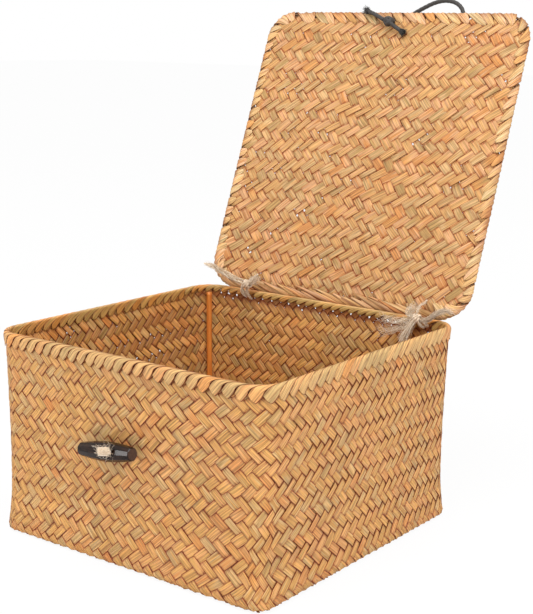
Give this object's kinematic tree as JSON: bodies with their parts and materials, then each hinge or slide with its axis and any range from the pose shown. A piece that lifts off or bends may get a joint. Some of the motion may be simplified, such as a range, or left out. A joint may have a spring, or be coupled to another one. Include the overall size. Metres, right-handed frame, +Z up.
{
  "type": "woven lidded box",
  "caption": "Plaited square storage box with rounded corners and a folded rim, a plaited lid lashed to its rear edge, a dark toggle in front and a cord loop that closes over it.",
  "frame": {"origin": "centre of the flat underside of the basket, on the surface it stands on", "axes": "+Z up; -Y the front wall with the toggle; +Y the rear wall, where the lid turns; +X to the right seen from the front"},
  "size_m": [0.2782, 0.3846, 0.4212],
  "materials": {
    "sedge_basket": "plaited dried sedge, matt",
    "sedge_border": "plaited dried sedge, matt",
    "sedge_lid": "plaited dried sedge, matt",
    "sedge_lid_border": "plaited dried sedge, matt",
    "hoop_wire": "drawn steel wire",
    "stake_cane": "smooth stained cane",
    "jute_twine": "hairy twisted jute",
    "toggle_horn": "polished dark horn",
    "loop_cord": "waxed braided cord"
  },
  "bodies": {
    "basket": {"box_basket": "sedge_basket", "rim_border": "sedge_border", "rim_hoop": "hoop_wire", "corner_stake_front_left": "stake_cane", "corner_stake_front_right": "stake_cane", "corner_stake_rear_left": "stake_cane", "corner_stake_rear_right": "stake_cane", "left_hinge_tie": "jute_twine", "right_hinge_tie": "jute_twine", "left_hinge_knot": "jute_twine", "right_hinge_knot": "jute_twine", "left_tie_tail": "jute_twine", "toggle_tie": "jute_twine"},
    "lid": {"lid_mat": "sedge_lid", "lid_border": "sedge_lid_border", "lid_hoop": "hoop_wire", "closing_loop": "loop_cord", "closing_loop_knot": "loop_cord", "closing_loop_tail": "loop_cord"},
    "toggle": {"toggle": "toggle_horn"}
  },
  "joints": [
    {"name": "lid_hinge", "type": "hinge", "parent": "basket", "child": "lid", "pos_m": [0, 0.132, 0.1663], "axis": [1, 0, 0], "range_deg": [0, 111.1], "deforming": ["left_hinge_knot", "right_hinge_knot", "left_tie_tail", "closing_loop_tail"]},
    {"name": "toggle_swivel", "type": "hinge", "parent": "basket", "child": "toggle", "pos_m": [-0.0067, -0.13535, 0.092], "axis": [0, 1, 0], "range_deg": [-90, 90]}
  ]
}
